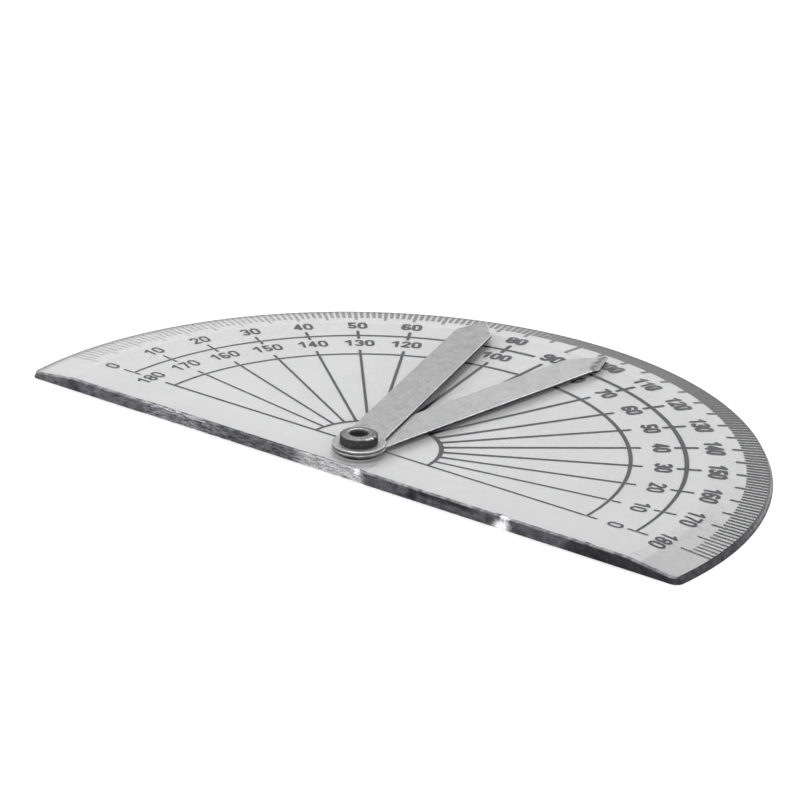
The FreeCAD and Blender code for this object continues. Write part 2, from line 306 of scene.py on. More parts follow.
def clear_acrylic():
    """Clear acrylic with fine scratches, greyer to the right. Lamp and floor light pass through."""
    n = Nodes("clear_acrylic")
    haze = n.noise(9.0, detail=3.0)
    scratch_a = n.noise(0.25, stretch=(60, 1, 1), turn=24, detail=1.0)
    scratch_b = n.noise(0.25, stretch=(45, 1, 1), turn=-52, detail=1.0)
    scratches = n.maths("MAXIMUM", n.ranged(scratch_a, 0.68, 0.76), n.ranged(scratch_b, 0.69, 0.77))
    mottle = n.ranged(n.noise(2.2, detail=4.0, roughness=0.6), 0.3, 0.7, 0.98, 1.02)
    smears = n.ranged(n.noise(9.0, stretch=(1, 1.6, 1), turn=30, detail=3.0), 0.3, 0.7, 0.6, 0.635)
    across = n.add("ShaderNodeSeparateXYZ", {"Vector": n.place()}).outputs["X"]
    # The see-through colour turns a little greyer towards the right.
    greyer_rightward = n.ranged(across, -10 * MM, 46 * MM, 1.0, 0.92)
    glass = n.add(
        "ShaderNodeBsdfPrincipled",
        {
            "Base Color": n.grey(n.maths("MULTIPLY", n.maths("MULTIPLY", mottle, smears), greyer_rightward)),
            "Transmission Weight": 1.0,
            "IOR": 1.49,
            "Roughness": n.ranged(haze, 0.3, 0.7, 0.015, 0.05),
            "Normal": n.bumped(scratches, 0.0025),
        },
    )
    open_side = n.add("ShaderNodeBsdfTransparent", {"Color": (0.94, 0.94, 0.945, 1)})
    path = n.add("ShaderNodeLightPath").outputs
    lit = n.maths("MAXIMUM", path["Is Shadow Ray"], path["Is Diffuse Ray"])
    both = n.add("ShaderNodeMixShader", {0: lit, 1: glass.outputs[0], 2: open_side.outputs[0]})
    return n.finish(both.outputs[0])


def sawn_edge():
    """The plate's cut edge: painted dark where it is smooth, as shade standing in for the dark the clear
    edge shows, pale where it is torn, and painted lighter from within, standing in for light coming
    through the edge.
    """
    n = Nodes("sawn_edge")
    tone = n.value("tone")
    rough = n.value("rough")
    blotches = n.noise(0.9, stretch=(1.6, 1, 0.8), detail=5.0, roughness=0.7)
    streaks = n.noise(0.26, stretch=(5, 1, 1), detail=4.0, roughness=0.7)
    specks = n.noise(0.14, stretch=(1.6, 1, 1), detail=2.0)
    calm_specks = n.ranged(specks, 0.3, 0.7, 0.6, 1.4)
    torn_specks = n.ranged(specks, 0.3, 0.7, 0.55, 1.45)
    calm = n.maths("MULTIPLY", n.ranged(blotches, 0.35, 0.6, 0.45, 1.35), calm_specks)
    torn = n.maths("MULTIPLY", n.ranged(streaks, 0.38, 0.64, 0.1, 1.9), torn_specks)
    calm_share = n.maths("MULTIPLY", calm, n.maths("SUBTRACT", 1.0, rough))
    share = n.maths("ADD", n.maths("MULTIPLY", torn, rough), calm_share)
    level = n.maths("MULTIPLY", tone, share)
    # Painted shade: the smooth edge is coloured dark and slightly blue, standing in for the dark the
    # clear edge shows.
    dark, pale = n.grey(level, (0.98, 0.97, 1.15)), n.grey(level, (1.0, 0.99, 1.01))
    outside = n.mixed(n.ranged(level, 0.08, 0.2), dark, pale)
    # Painted light: seen from inside the plate, the edge is painted lighter, standing in for light
    # coming through it.
    painted_light_within = n.grey(n.ranged(level, 0.0, 0.2, 0.2, 0.5))
    from_within = n.add("ShaderNodeNewGeometry").outputs["Backfacing"]
    shader = n.add(
        "ShaderNodeBsdfPrincipled",
        {
            "Base Color": n.mixed(from_within, outside, painted_light_within),
            "Roughness": n.ranged(streaks, 0.3, 0.7, 0.45, 0.7),
            "Specular IOR Level": n.ranged(rough, 0.0, 1.0, 0.12, 0.3),
            "Normal": n.bumped(streaks, 0.02),
        },
    )
    return n.finish(shader.outputs[0])


def printed_ink():
    """Dark printed ink, worn thin in patches and wherever the mesh says it has faded."""
    n = Nodes("scale_ink")
    wear = n.noise(0.35, detail=4.0, roughness=0.7)
    patches = n.noise(3.5, detail=2.0)
    worn = n.maths("MULTIPLY", n.ranged(wear, 0.5, 0.7), n.ranged(patches, 0.42, 0.62))
    ink = n.add(
        "ShaderNodeBsdfPrincipled",
        {
            "Base Color": n.mixed(worn, (0.02, 0.02, 0.024, 1), (0.09, 0.09, 0.1, 1)),
            "Roughness": n.ranged(wear, 0.3, 0.7, 0.5, 0.7),
            "Specular IOR Level": 0.25,
            "Normal": n.bumped(wear, 0.006),
        },
    )
    gone = n.maths("MULTIPLY", n.value("fade"), n.ranged(wear, 0.3, 0.7, 0.8, 1.25))
    bare = n.add("ShaderNodeBsdfTransparent")
    both = n.add("ShaderNodeMixShader", {0: gone, 1: ink.outputs[0], 2: bare.outputs[0]})
    return n.finish(both.outputs[0])


def rolled_metal(name, level, along):
    """Matte rolled sheet metal: fine speckle, faint clouds, marks across the arm and dark scratches,
    scaled by the mesh's tone, which also paints shade and highlights.
    """
    n = Nodes(name)
    speckle = n.noise(0.15, detail=2.0, roughness=0.6)
    clouds = n.noise(1.4, detail=4.0, roughness=0.6)
    brushed = n.noise(0.3, stretch=(1, 14, 1), turn=along, detail=3.0)
    scores = n.noise(0.35, stretch=(9, 1, 1), turn=along + 55, detail=2.0, distortion=0.4)
    tone = n.value("tone")
    cloudy = n.ranged(clouds, 0.3, 0.7, 0.9, 1.1)
    shade = n.maths("MULTIPLY", n.ranged(speckle, 0.3, 0.7, 0.45, 1.55), cloudy)
    shade = n.maths("MULTIPLY", shade, n.ranged(brushed, 0.3, 0.7, 0.95, 1.05))
    shade = n.maths("MULTIPLY", shade, n.ranged(scores, 0.67, 0.74, 1.0, 0.65))
    level_here = n.maths("MULTIPLY", n.maths("MULTIPLY", shade, tone), level)
    shader = n.add(
        "ShaderNodeBsdfPrincipled",
        {
            "Base Color": n.grey(level_here, (1.0, 1.0, 1.01)),
            "Metallic": 1.0,
            "Roughness": n.ranged(speckle, 0.3, 0.7, 0.42, 0.55),
            "Normal": n.bumped(n.maths("ADD", speckle, brushed), 0.009),
        },
    )
    return n.finish(shader.outputs[0])


def eyelet_metal():
    """Satin rolled metal, mottled, as bright as the mesh's tone says; the tone paints its highlights and
    shade.
    """
    n = Nodes("eyelet_metal")
    tone = n.value("tone")
    scrape = n.noise(0.28, detail=3.0)
    shader = n.add(
        "ShaderNodeBsdfPrincipled",
        {
            "Base Color": n.grey(n.maths("MULTIPLY", tone, n.ranged(scrape, 0.3, 0.7, 0.6, 1.4))),
            "Metallic": 1.0,
            "Roughness": n.ranged(scrape, 0.3, 0.7, 0.3, 0.45),
            "Normal": n.bumped(scrape, 0.015),
        },
    )
    return n.finish(shader.outputs[0])


def painted_black_shade():
    """Painted shade: the inside of the rivet and the side of its head, near black with blotches, stand
    in for the shade and dark reflections there.
    """
    n = Nodes("painted_black_shade")
    blotch_noise = n.noise(0.3, detail=3.0)
    blotchy = n.ranged(blotch_noise, 0.3, 0.7, 0.7, 1.3)
    shader = n.add(
        "ShaderNodeBsdfPrincipled",
        {
            "Base Color": n.grey(n.maths("MULTIPLY", n.value("tone"), blotchy)),
            "Roughness": n.ranged(blotch_noise, 0.3, 0.7, 0.6, 0.8),
            "Specular IOR Level": 0.05,
        },
    )
    return n.finish(shader.outputs[0])


ACRYLIC = clear_acrylic()
EDGE = sawn_edge()
INK = printed_ink()
PAINTED_BLACK_SHADE = painted_black_shade()


# ---------------------------------------------------------------- plate

EDGE_PITCH = 0.16
RIM_PITCH = 0.24
CORNER_STEPS = 24
WALL_ROWS = 9
CHAMFER_ROWS = 3
TOP_INSETS = (0.06, 0.12, 0.18)
CREASE_STEPS = 900
CREASE_OVERRUN = 0.4
CREASE_MARGIN = 0.12
PLATE_HOLE_STEPS = 96
UNDERSIDE_TONE = 0.1


def plate_outline():
    """Points round the plate's foot, each with its outward direction and its share of front edge."""
    front = FRONT_Y - RIM_CENTRE[1]
    centre_x = math.sqrt((RIM_FOOT_RADIUS - CORNER_RADIUS) ** 2 - (front + CORNER_RADIUS) ** 2)
    corner = np.array([centre_x, FRONT_Y + CORNER_RADIUS])
    reach = math.atan2(corner[1] - RIM_CENTRE[1], corner[0])
    points = []

    def add(x, y, turn, share):
        points.append((x, y, math.cos(turn), math.sin(turn), share))

    count = int(2 * centre_x / EDGE_PITCH)
    for k in range(count):
        add(-centre_x + 2 * centre_x * k / count, FRONT_Y, -math.pi / 2, 1.0)
    for k in range(CORNER_STEPS):
        turn = -math.pi / 2 + (reach + math.pi / 2) * k / CORNER_STEPS
        x, y = corner[0] + CORNER_RADIUS * math.cos(turn), corner[1] + CORNER_RADIUS * math.sin(turn)
        add(x, y, turn, 1 - k / CORNER_STEPS)
    count = int((math.pi - 2 * reach) * RIM_FOOT_RADIUS / RIM_PITCH)
    for k in range(count):
        turn = reach + (math.pi - 2 * reach) * k / count
        x, y = RIM_FOOT_RADIUS * math.cos(turn), RIM_CENTRE[1] + RIM_FOOT_RADIUS * math.sin(turn)
        add(x, y, turn, 0.0)
    for k in range(CORNER_STEPS):
        turn = math.pi - reach + (reach + math.pi / 2) * k / CORNER_STEPS
        x, y = -corner[0] + CORNER_RADIUS * math.cos(turn), corner[1] + CORNER_RADIUS * math.sin(turn)
        add(x, y, turn, k / CORNER_STEPS)
    return points


def top_height(x, y):
    """The plate's top: flat, and sloping down over the bevel."""
    beyond = math.hypot(x - RIM_CENTRE[0], y - RIM_CENTRE[1]) - CREASE_RADIUS
    return THICKNESS - max(0.0, beyond) * BEVEL_DROP / BEVEL_WIDTH


# Levels of the cut edge's colour. The smooth part's dark is painted shade; the lip along the top is
# painted lighter where it faces up to the lamp.
CALM_TONE = 0.075
LEFT_TONE = 0.105
TORN_TONE = 0.1
LIP_TONE = 0.2

# Bites out of the front edge: place along X, half width, depth, and how far down the face they reach.
CHIPS = (
    (-45.6, 0.5, 0.12, 0.5),
    (-27.6, 1.0, 0.22, 0.7),
    (-24.1, 0.6, 0.18, 0.5),
    (-12.2, 0.9, 0.25, 0.5),
    (-1.6, 1.2, 0.4, 0.7),
    (2.5, 0.7, 0.45, 0.9),
    (25.4, 0.9, 0.45, 1.6),
    (37.8, 0.8, 0.3, 0.35),
)


def torn_share(x):
    """How torn the front edge is at x, from 0 to 1."""
    return step(-32.0, -29.5, x) * (1 - step(4.6, 5.4, x))


def broken_tone(x, up):
    """How much paler the front edge is where it has broken clear, at a share of its height."""
    patch = 0.3 * step(-6.5, -4.0, x) * (1 - step(4.4, 5.2, x))
    chip = bump(25.5 + 0.4 * up, 2.0 - 1.2 * up, x)
    return max(patch, 0.75 * chip, 0.7 * bump(3.8, 0.8, x) * step(0.2, 0.5, up))


def darkest_patches(x, up):
    """The darkest patches of the painted dark on the smooth part of the front edge."""
    streak = step(13.0, 14.5, x) * (1 - step(20.5, 22.5, x)) * step(0.4, 0.65, up)
    return max(bump(12.4, 1.0, x), streak, step(34.5, 36.0, x), 0.8 * bump(-43.0, 3.0, x))


def edge_wear(x, z):
    """How far the front face is worn back at x and height z."""
    torn = torn_share(x)
    saw = 0.012 * (1 + grain(x, 0, z, 0.5)) * (1 - torn)
    ragged = 0.07 * torn * (1 + grain(x / 2.5, 5, z, 0.35))
    ragged += 0.05 * torn * (1 + grain(x / 4, 9, z, 0.15))
    bites = 0.0
    for place, half, depth, reach in CHIPS:
        down = THICKNESS - z
        share = bump(place, half, x + 0.2 * grain(x, z, place, 0.4))
        share *= 1 - step(0.4 * reach, reach, down)
        bites = max(bites, depth * share * (0.8 + 0.4 * grain(x, place, z, 0.25)))
    return saw + ragged + bites


def edge_tone(x, z, front, on_lip):
    """How pale the cut edge is, and how torn; the dark of its smooth part is painted shade and its
    lighter lip is painted light.
    """
    torn = torn_share(x)
    up = z / THICKNESS
    calm = CALM_TONE + (LEFT_TONE - CALM_TONE) * (1 - step(-34.0, -31.0, x))
    calm *= 1 - 0.68 * darkest_patches(x + 0.8 * grain(x, 0, z, 1.2), up)
    # Painted light: the lip along the top is lighter, as it faces up to the lamp.
    if on_lip:
        calm = max(calm, LIP_TONE * (1 + 0.6 * grain(x, 4, z, 0.7)))
    # The torn part is paler left of about x = -20, and paler still towards its top there.
    torn_right_part = step(-22.0, -17.0, x)
    ripped = TORN_TONE * (1.5 - 0.75 * torn_right_part + 1.2 * step(0.6, 0.95, up) * (1 - torn_right_part))
    pale = broken_tone(x + 0.35 * grain(x, 0, z, 0.4), up)
    level = calm * (1 - torn) + ripped * torn + pale
    return level * front, torn * front * (1 - 0.6 * min(1.0, 3 * pale))


def rim_tone(x, y, z):
    """How pale the rim wall is, as painted shade and light: dark near the right corner, palest at the
    left, with a painted highlight line along its middle.
    """
    turn = math.degrees(math.atan2(y - RIM_CENTRE[1], x))
    level = 0.05 + 0.09 * step(0.0, 30.0, turn) + 0.35 * step(105.0, 150.0, turn)
    return level * (1 + 1.3 * bump(0.5, 0.22, z / (THICKNESS - BEVEL_DROP)) * step(4.0, 22.0, turn))


def plate_rows(shell):
    """The plate's walls from the bottom edge up and over onto the top, row by row."""
    outline = plate_outline()
    rows = []
    tones = []
    last = WALL_ROWS + CHAMFER_ROWS + len(TOP_INSETS)
    for row in range(last + 1):
        loop = []
        above = max(0, row - WALL_ROWS - CHAMFER_ROWS)
        for x, y, nx, ny, front in outline:
            chamfer = RIM_CHAMFER + (FRONT_CHAMFER - RIM_CHAMFER) * front
            spread = WALL_SPREAD * (1 - front)
            edge_top = top_height(x - nx * spread, y - ny * spread) - chamfer
            if row <= WALL_ROWS:
                inset = spread * row / WALL_ROWS
                z = edge_top * row / WALL_ROWS
            elif above == 0:
                share = (row - WALL_ROWS) / CHAMFER_ROWS
                inset = spread + chamfer * share
                z = edge_top + (top_height(x - nx * inset, y - ny * inset) - edge_top) * share
            else:
                inset = spread + chamfer + TOP_INSETS[above - 1]
                z = top_height(x - nx * inset, y - ny * inset)
            if front > 0:
                keep = 1 - above / len(TOP_INSETS)
                worn = edge_wear(x, z) * front * front
                if above > 0:
                    z -= 0.35 * max(0.0, worn - TOP_INSETS[above - 1]) * keep
                else:
                    z -= 0.3 * worn * max(0, row - WALL_ROWS) / CHAMFER_ROWS
                inset += worn * keep * (1.0 if row < WALL_ROWS else 0.75)
            loop.append((x - nx * inset, y - ny * inset, z))
            level, torn = edge_tone(x, z, front, row > WALL_ROWS)
            tones.append((level + rim_tone(x, y, z) * (1 - front), torn))
        rows.append(shell.ring(loop, sharp=row in (0, WALL_ROWS, WALL_ROWS + CHAMFER_ROWS, last)))
    return rows, tones


def make_plate():
    shell = Shell()
    rows, tones = plate_rows(shell)
    for k in range(len(rows) - 1):
        shell.bridge(rows[k], rows[k + 1], kind=1 if k < WALL_ROWS + CHAMFER_ROWS else 0)
    top_loop = rows[-1]
    inner = np.array([shell.points[v][:2] for v in top_loop])
    crease_turns = np.linspace(-CREASE_OVERRUN, math.pi + CREASE_OVERRUN, CREASE_STEPS)
    crease = []
    for t in crease_turns:
        x = RIM_CENTRE[0] + CREASE_RADIUS * math.cos(t)
        y = RIM_CENTRE[1] + CREASE_RADIUS * math.sin(t)
        crease.append((x, y, THICKNESS))
    margin = inner[:, 1].min() + CREASE_MARGIN
    crease = [p for p in crease if p[1] > margin]
    first = len(shell.points)
    shell.points += crease
    crease_ids = list(range(first, len(shell.points)))
    shell.sharp |= {frozenset(pair) for pair in zip(crease_ids, crease_ids[1:])}
    top_hole = shell.ring(circle(HOLE_RADIUS, PLATE_HOLE_STEPS, THICKNESS), sharp=True)
    shell.fill(top_loop, [top_hole], [crease_ids])
    ledge_hole = shell.ring(circle(HOLE_RADIUS, PLATE_HOLE_STEPS, COUNTERBORE_DEPTH), sharp=True)
    ledge_rim = shell.ring(circle(COUNTERBORE_RADIUS, PLATE_HOLE_STEPS, COUNTERBORE_DEPTH), sharp=True)
    bottom_hole = shell.ring(circle(COUNTERBORE_RADIUS, PLATE_HOLE_STEPS, 0.0), sharp=True)
    shell.bridge(top_hole, ledge_hole)
    shell.bridge(ledge_hole, ledge_rim)
    shell.bridge(ledge_rim, bottom_hole)
    shell.fill(rows[0], [bottom_hole])
    piece = shell.build("clear_plate", [ACRYLIC, EDGE], smooth_angle=18.0)
    rest = len(shell.points) - len(tones)
    store(piece, "tone", [t for t, _ in tones] + [UNDERSIDE_TONE] * rest)
    store(piece, "rough", [r for _, r in tones] + [0.0] * rest)
    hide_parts("plate")
    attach(piece, "root")
    return piece


make_plate()


# ---------------------------------------------------------------- arms

OUTLINE_PITCH = 0.2
ARM_SIDE_ROWS = 4
# Painted shade on the arms' sides, row by row from the bottom: darkest at the foot.
PAINTED_SIDE_SHADE = (0.3, 0.35, 0.5, 0.8)
ARM_EDGE_STEPS = 3
ARM_EDGE_RADIUS = 0.09
ARM_FILL_PITCH = 0.55
ARM_FILL_MARGIN = 0.35
HOLE_FILL_MARGIN = 0.3
ARM_HOLE_STEPS = 64
EYE_STEPS = 60
FOOT_INSET = 0.03
FACE_INSET = 0.05
FACE_STEP = 0.06
FACE_WAVE = 0.006

# The ridge that runs down from the lower arm's tip: where it starts, and the way across it.
RIDGE_START = (41.2, -1.35)
RIDGE_ACROSS = (0.33, 0.94)

# Where the arms' undersides stand clear, leaving a dark gap: the upper arm's eye on one side,
# by the angle round the pivot, and the lower arm's tip, by the distance along the arm.
GAP_DEPTH = 0.35
GAP_ROWS = 2
EYE_GAP_TURN, EYE_GAP_HALF = math.radians(235), 0.9
TIP_GAP_AT, TIP_GAP_HALF = 43.8, 2.4


def arm_sizes(node):
    """The arm's direction and main sizes in millimetres, read from its CAD solid."""
    points = np.array([v.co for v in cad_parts[node].data.vertices]) / MM
    reach = np.hypot(points[:, 0], points[:, 1])
    tip = points[reach.argmax()]
    angle = math.atan2(tip[1], tip[0])
    along = points[:, 0] * math.cos(angle) + points[:, 1] * math.sin(angle)
    across = points[:, 1] * math.cos(angle) - points[:, 0] * math.sin(angle)
    half_width = float(np.abs(across[along > 0.5 * reach.max()]).max())
    shoulder = float(along[np.abs(across) > 0.995 * half_width].max())
    return {
        "angle": angle,
        "length": float(reach.max()),
        "eye": float(-along.min()),
        "half_width": half_width,
        "shoulder": shoulder,
        "bottom": float(points[:, 2].min()),
        "top": float(points[:, 2].max()),
    }


def round_corner(before, corner, after, radius, count=9):
    """Points of an arc of that radius that rounds the corner between two straight runs."""
    before, corner, after = (np.array(p, dtype=float) for p in (before, corner, after))
    u = (before - corner) / np.linalg.norm(before - corner)
    v = (after - corner) / np.linalg.norm(after - corner)
    half = math.acos(float(np.clip(u @ v, -1, 1))) / 2
    centre = corner + (u + v) / np.linalg.norm(u + v) * radius / math.sin(half)
    start = corner + u * radius / math.tan(half) - centre
    end = corner + v * radius / math.tan(half) - centre
    turn = math.atan2(start[0] * end[1] - start[1] * end[0], start @ end)
    points = []
    for k in range(count):
        a = turn * k / (count - 1)
        c, s = math.cos(a), math.sin(a)
        points.append(centre + np.array([start[0] * c - start[1] * s, start[0] * s + start[1] * c]))
    return points


def arm_corners(size, tip, waist, left_shoulder):
    """The arm's plan along +X as a dense closed loop, anticlockwise from the right of the eye."""
    eye, half, right = size["eye"], size["half_width"], size["shoulder"] + 0.3
    turn = math.asin(half / eye)
    low = (right, -half)
    high = (left_shoulder, half)
    eye_low = (eye * math.cos(turn), -half)
    eye_high = (eye * math.cos(turn), half)
    loop = [eye_low]
    loop += round_corner(eye_low, low, tip, 0.8)
    loop += round_corner(low, tip, waist, 0.26)
    loop += [waist]
    loop += round_corner(waist, high, eye_high, 2.0)
    round_eye = np.linspace(turn, 2 * math.pi - turn, EYE_STEPS)[:-1]
    loop += [(eye * math.cos(t), eye * math.sin(t)) for t in round_eye]
    return evenly(np.array(loop), OUTLINE_PITCH)


def evenly(loop, pitch):
    """A closed loop resampled at an even pitch."""
    closed = np.vstack([loop, loop[:1]])
    steps = np.linalg.norm(np.diff(closed, axis=0), axis=1)
    walked = np.concatenate([[0.0], np.cumsum(steps)])
    count = int(walked[-1] / pitch)
    at = np.arange(count) * walked[-1] / count
    return np.column_stack([np.interp(at, walked, closed[:, k]) for k in (0, 1)])


def outward(loop):
    """The outward direction at each point of an anticlockwise loop of three points or more.

    A loop of two points gives nan, as the hole of each printed 4 does: a known fault.
    """
    along = np.roll(loop, -1, axis=0) - np.roll(loop, 1, axis=0)
    along /= np.linalg.norm(along, axis=1)[:, None]
    return np.column_stack([along[:, 1], -along[:, 0]])


def make_arm(node, name, level, tip, waist, left_shoulder, burr, faceted):
    """One sheet-metal arm with rounded upper edges, burrs and a slightly uneven face, its tone painting
    shade on its sides and tip facet and a highlight along its right top edge.

    Gives back the height of its upper face.
    """
    size = arm_sizes(node)
    seed = 40.0 if faceted else 0.0
    loop = arm_corners(size, tip, waist, left_shoulder)
    normals = outward(loop)
    shell = Shell()
    tones = []
    turn = size["angle"]
    cosine, sine = math.cos(turn), math.sin(turn)
    top, bottom = size["top"], size["bottom"]

    def place(u, v, z):
        return (u * cosine - v * sine, u * sine + v * cosine, z)

    def facet(u, v):
        """How far a place lies past the ridge that runs down from the tip, on the right-hand side."""
        if not faceted:
            return 0.0
        past = (u - RIDGE_START[0]) * RIDGE_ACROSS[0] - (v - RIDGE_START[1]) * RIDGE_ACROSS[1]
        return max(0.0, past) * step(40.5, 42.5, u)

    def dip(u, v):
        """How far the face lies below the arm's top."""
        wave = FACE_WAVE * (1 + grain(u, v, seed, 7.0))
        if not faceted:
            return wave
        return wave + min(0.2, 0.16 * facet(u, v))

    def facet_tone(u, v):
        # Painted shade on the facet past the lower arm's tip ridge, darkest along the ridge, and the
        # lower arm painted a little lighter towards its tip.
        ridge = 0.5 * bump(0.45, 0.5, facet(u, v)) + 0.3 * step(0.0, 0.3, facet(u, v))
        return 1.0 - ridge + 0.005 * u * faceted

    def gap(u, v):
        """Where the arm's underside stands clear of what it lies on, from 0 to 1."""
        if faceted:
            return bump(TIP_GAP_AT, TIP_GAP_HALF, u) * (v < 0)
        around = (math.atan2(v, u) + turn) % (2 * math.pi)
        return bump(EYE_GAP_TURN, EYE_GAP_HALF, around)

    def rag(u, v):
        """How ragged the edge is: more along the right side of the arm than elsewhere."""
        side = 1.0 if v < 0 else 0.5
        return burr * side * (grain(u, v, seed, 0.5) + 0.6 * grain(u, v, seed + 7, 0.22))

    edge_rows = ARM_SIDE_ROWS + ARM_EDGE_STEPS
    rings = []
    for row in range(edge_rows + 2):
        points = []
        for (u, v), (nu, nv) in zip(loop, normals):
            local_top = top - dip(u, v)
            height = local_top - bottom
            if row < ARM_SIDE_ROWS:
                inset = FOOT_INSET * (row == 0) + GAP_DEPTH * gap(u, v) * (row < GAP_ROWS)
                z = bottom + (height - ARM_EDGE_RADIUS) * row / (ARM_SIDE_ROWS - 1)
            elif row < edge_rows:
                a = math.pi / 2 * (row - ARM_SIDE_ROWS + 1) / ARM_EDGE_STEPS
                inset = ARM_EDGE_RADIUS * (1 - math.cos(a))
                z = local_top - ARM_EDGE_RADIUS * (1 - math.sin(a))
            else:
                inset = ARM_EDGE_RADIUS + FACE_INSET + FACE_STEP * (row - edge_rows)
                z = local_top
            ragged = rag(u, v) * (1 + 0.4 * grain(u, v, row + seed, 0.4))
            if row >= edge_rows:
                ragged *= 0.3 * (edge_rows + 1 - row)
            pu, pv = u - nu * (inset - ragged), v - nv * (inset - ragged)
            lift = min(0.0, 0.5 * ragged) if row >= ARM_SIDE_ROWS else 0.0
            points.append(place(pu, pv, max(bottom + 0.02 * row / edge_rows, z + lift)))
            speck = 1 + (0.25 + 5 * burr * (v < 0)) * grain(u, v, seed + row, 0.33)
            # Painted shade on the sides: darker along the right side past the eye and by the lower arm's
            # tip, lighter beside the eye.
            if row < ARM_SIDE_ROWS:
                painted_shade = (v < 0) * (0.4 * step(2.0, 6.0, u) + 0.4 * step(41.0, 43.0, u))
                tone = PAINTED_SIDE_SHADE[row] * (1.0 - painted_shade + 0.8 * (1 - step(2.0, 4.5, abs(u))))
            else:
                # Painted highlight along the rounded top edge on the right side, left off the lower
                # arm's tip.
                tone = 1.0 + 0.8 * (v < 0) * (row < edge_rows) * (1 - step(41.0, 43.0, u) * faceted)
            tones.append(tone * facet_tone(u, v) * (speck if row < edge_rows + 1 else 1.0))
        rings.append(shell.ring(points))
    for k in range(len(rings) - 1):
        shell.bridge(rings[k], rings[k + 1])

    inner = loop - normals * (ARM_EDGE_RADIUS + ARM_FILL_MARGIN)
    loose = []
    for u in np.arange(-size["eye"], size["length"], ARM_FILL_PITCH):
        for v in np.arange(-size["half_width"] - 1, size["half_width"] + 1, ARM_FILL_PITCH):
            loose.append((u + 0.2 * grain(u, v, 3, 0.4), v + 0.2 * grain(u, v, 8, 0.4)))
    loose = np.array(loose)
    clear = np.hypot(loose[:, 0], loose[:, 1]) > HOLE_RADIUS + HOLE_FILL_MARGIN
    keep = inside(loose, inner) & clear
    loose = loose[keep]
    first = len(shell.points)
    shell.points += [place(u, v, top - dip(u, v)) for u, v in loose]
    tones += [facet_tone(u, v) for u, v in loose]
    hole_top = shell.ring(circle(HOLE_RADIUS, ARM_HOLE_STEPS, top - FACE_WAVE), sharp=True)
    hole_bottom = shell.ring(circle(HOLE_RADIUS, ARM_HOLE_STEPS, bottom), sharp=True)
    tones += [1.0] * (2 * ARM_HOLE_STEPS)
    shell.fill(rings[-1], [hole_top], loose=list(range(first, first + len(loose))))
    shell.bridge(hole_top, hole_bottom)
    shell.fill(rings[0], [hole_bottom])
    material = rolled_metal(name + "_metal", level, math.degrees(turn))
    piece = shell.build(name, [material], smooth_angle=35.0)
    store(piece, "tone", tones)
    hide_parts(node)
    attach(piece, node)
    return size["top"]


UPPER_ARM_TOP = make_arm(
    "upper_arm", "upper_pointer", 0.37, (47.2, -0.1), (44.6, 1.5), 42.7, burr=0.012, faceted=False
)
make_arm(
    "lower_arm", "lower_pointer", 0.38, (46.9, -0.2), (45.0, 0.42), 41.4, burr=0.05, faceted=True
)


# ---------------------------------------------------------------- eyelet

EYELET_STEPS = 160
HEAD_GAP = 0.04


